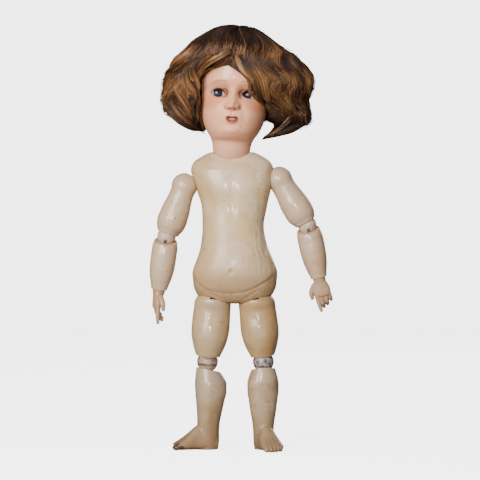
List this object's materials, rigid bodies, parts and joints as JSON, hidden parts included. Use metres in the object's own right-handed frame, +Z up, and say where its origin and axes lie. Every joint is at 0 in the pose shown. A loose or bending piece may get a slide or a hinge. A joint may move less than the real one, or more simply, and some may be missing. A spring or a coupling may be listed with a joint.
{
  "type": "jointed play doll",
  "caption": "Antique-style strung doll with a bisque socket head, closing glass eyes, a wavy mohair wig and a varnished ball-jointed papier-mache body.",
  "frame": {"origin": "middle of the doll's bounding box, on the surface that its soles stand on", "axes": "+Z up, the doll faces -Y, its right side is at -X"},
  "size_m": [0.1974, 0.1164, 0.4553],
  "materials": {
    "composition": "gloss",
    "painted_wood": "satin",
    "bare_wood": "matte",
    "bisque": "satin",
    "enamel": "gloss",
    "eye_glass": "polished",
    "plaster": "matte",
    "lead": "matte",
    "steel_wire": "satin",
    "elastic_cord": "matte",
    "gauze": "matte",
    "mohair": "satin"
  },
  "bodies": {
    "torso": {"torso_front": "composition", "torso_back": "composition"},
    "neck_hook": {"neck_hook": "steel_wire", "neck_button": "bare_wood"},
    "head": {"head": "bisque", "pate": "bare_wood", "teeth": "enamel", "eye_pad_right": "plaster", "eye_pad_left": "plaster", "wig_cap": "gauze", "wig_crown": "mohair", "wig_back": "mohair", "wig_side_right": "mohair", "wig_side_left": "mohair", "wig_fringe": "mohair"},
    "eyes": {"eye_right": "eye_glass", "eye_left": "eye_glass", "eye_bar": "steel_wire", "eye_weight": "lead"},
    "arm_cord_right": {"arm_elastic_right": "elastic_cord"},
    "upper_arm_right": {"upper_arm_right": "composition", "upper_arm_elastic_right": "elastic_cord"},
    "elbow_right": {"elbow_ball_right": "painted_wood"},
    "forearm_right": {"forearm_right": "composition", "forearm_elastic_right": "elastic_cord"},
    "hand_right": {"hand_right": "composition", "wrist_hook_right": "steel_wire"},
    "leg_cord_right": {"leg_elastic_right": "elastic_cord"},
    "thigh_right": {"thigh_right": "composition", "thigh_elastic_right": "elastic_cord"},
    "knee_right": {"knee_ball_right": "painted_wood"},
    "shin_hook_right": {"shin_hook_right": "steel_wire"},
    "lower_leg_right": {"lower_leg_right": "composition", "shin_plug_right": "bare_wood"},
    "arm_cord_left": {"arm_elastic_left": "elastic_cord"},
    "upper_arm_left": {"upper_arm_left": "composition", "upper_arm_elastic_left": "elastic_cord"},
    "elbow_left": {"elbow_ball_left": "painted_wood"},
    "forearm_left": {"forearm_left": "composition", "forearm_elastic_left": "elastic_cord"},
    "hand_left": {"hand_left": "composition", "wrist_hook_left": "steel_wire"},
    "leg_cord_left": {"leg_elastic_left": "elastic_cord"},
    "thigh_left": {"thigh_left": "composition", "thigh_elastic_left": "elastic_cord"},
    "knee_left": {"knee_ball_left": "painted_wood"},
    "shin_hook_left": {"shin_hook_left": "steel_wire"},
    "lower_leg_left": {"lower_leg_left": "composition", "shin_plug_left": "bare_wood"}
  },
  "joints": [
    {"name": "head_nod", "type": "hinge", "parent": "torso", "child": "neck_hook", "pos_m": [-0.0107, -0.00383, 0.3247], "axis": [0.9975, -0.0349, -0.061], "range_deg": [-12, 12]},
    {"name": "head_turn", "type": "hinge", "parent": "neck_hook", "child": "head", "pos_m": [-0.0107, -0.00383, 0.3247], "axis": [0.061, 0, 0.9981], "continuous": true},
    {"name": "eyes_close", "type": "hinge", "parent": "head", "child": "eyes", "pos_m": [-0.00811, -0.02482, 0.37905], "axis": [0.9975, -0.0349, -0.061], "range_deg": [0, 55]},
    {"name": "shoulder_swing_right", "type": "hinge", "parent": "torso", "child": "arm_cord_right", "pos_m": [-0.0613, -0.00383, 0.2827], "axis": [-0.9977, 0, -0.0684], "range_deg": [-60, 110]},
    {"name": "shoulder_lift_right", "type": "hinge", "parent": "arm_cord_right", "child": "upper_arm_right", "pos_m": [-0.0613, -0.00383, 0.2827], "axis": [0, 1, 0], "range_deg": [0, 60]},
    {"name": "elbow_turn_right", "type": "hinge", "parent": "upper_arm_right", "child": "elbow_right", "pos_m": [-0.08061, -0.00383, 0.22907], "axis": [-0.3387, 0, -0.9409], "continuous": true},
    {"name": "elbow_bend_right", "type": "hinge", "parent": "elbow_right", "child": "forearm_right", "pos_m": [-0.08061, -0.00383, 0.22907], "axis": [-0.9903, 0, 0.1392], "range_deg": [-5, 55]},
    {"name": "wrist_turn_right", "type": "hinge", "parent": "forearm_right", "child": "hand_right", "pos_m": [-0.08889, -0.00383, 0.17015], "axis": [-0.1392, 0, -0.9903], "continuous": true},
    {"name": "shoulder_swing_left", "type": "hinge", "parent": "torso", "child": "arm_cord_left", "pos_m": [0.0408, -0.00383, 0.2897], "axis": [-0.9977, 0, -0.0684], "range_deg": [-60, 110]},
    {"name": "shoulder_lift_left", "type": "hinge", "parent": "arm_cord_left", "child": "upper_arm_left", "pos_m": [0.0408, -0.00383, 0.2897], "axis": [0, -1, 0], "range_deg": [0, 60]},
    {"name": "elbow_turn_left", "type": "hinge", "parent": "upper_arm_left", "child": "elbow_left", "pos_m": [0.07049, -0.00383, 0.24105], "axis": [-0.521, 0, 0.8536], "continuous": true},
    {"name": "elbow_bend_left", "type": "hinge", "parent": "elbow_left", "child": "forearm_left", "pos_m": [0.07049, -0.00383, 0.24105], "axis": [-0.9759, 0, -0.2181], "range_deg": [-5, 55]},
    {"name": "wrist_turn_left", "type": "hinge", "parent": "forearm_left", "child": "hand_left", "pos_m": [0.08347, -0.00383, 0.18298], "axis": [-0.2181, 0, 0.9759], "continuous": true},
    {"name": "hip_turn_right", "type": "hinge", "parent": "torso", "child": "leg_cord_right", "pos_m": [-0.0314, -0.00383, 0.15207], "axis": [-0.1126, -0.0357, -0.993], "range_deg": [-30, 45]},
    {"name": "hip_swing_right", "type": "hinge", "parent": "leg_cord_right", "child": "thigh_right", "pos_m": [-0.0314, -0.00383, 0.15207], "axis": [-1, 0, 0], "range_deg": [-15, 55]},
    {"name": "knee_turn_right", "type": "hinge", "parent": "thigh_right", "child": "knee_right", "pos_m": [-0.03659, -0.00383, 0.094], "axis": [-0.0889, 0, -0.996], "range_deg": [-90, 90]},
    {"name": "knee_bend_right", "type": "hinge", "parent": "knee_right", "child": "shin_hook_right", "pos_m": [-0.03659, -0.00383, 0.094], "axis": [1, 0, 0], "range_deg": [0, 60]},
    {"name": "foot_turn_right", "type": "hinge", "parent": "shin_hook_right", "child": "lower_leg_right", "pos_m": [-0.03659, -0.00383, 0.094], "axis": [0, 0, -1], "range_deg": [-90, 20]},
    {"name": "hip_turn_left", "type": "hinge", "parent": "torso", "child": "leg_cord_left", "pos_m": [0.017, -0.00383, 0.15194], "axis": [-0.184, 0.034, 0.9823], "range_deg": [-30, 45]},
    {"name": "hip_swing_left", "type": "hinge", "parent": "leg_cord_left", "child": "thigh_left", "pos_m": [0.017, -0.00383, 0.15194], "axis": [-1, 0, 0], "range_deg": [-15, 55]},
    {"name": "knee_turn_left", "type": "hinge", "parent": "thigh_left", "child": "knee_left", "pos_m": [0.02349, -0.00383, 0.094], "axis": [-0.1115, 0, 0.9938], "range_deg": [-90, 90]},
    {"name": "knee_bend_left", "type": "hinge", "parent": "knee_left", "child": "shin_hook_left", "pos_m": [0.02349, -0.00383, 0.094], "axis": [1, 0, 0], "range_deg": [0, 60]},
    {"name": "foot_turn_left", "type": "hinge", "parent": "shin_hook_left", "child": "lower_leg_left", "pos_m": [0.02349, -0.00383, 0.094], "axis": [0, 0, 1], "range_deg": [-30, 70]}
  ]
}
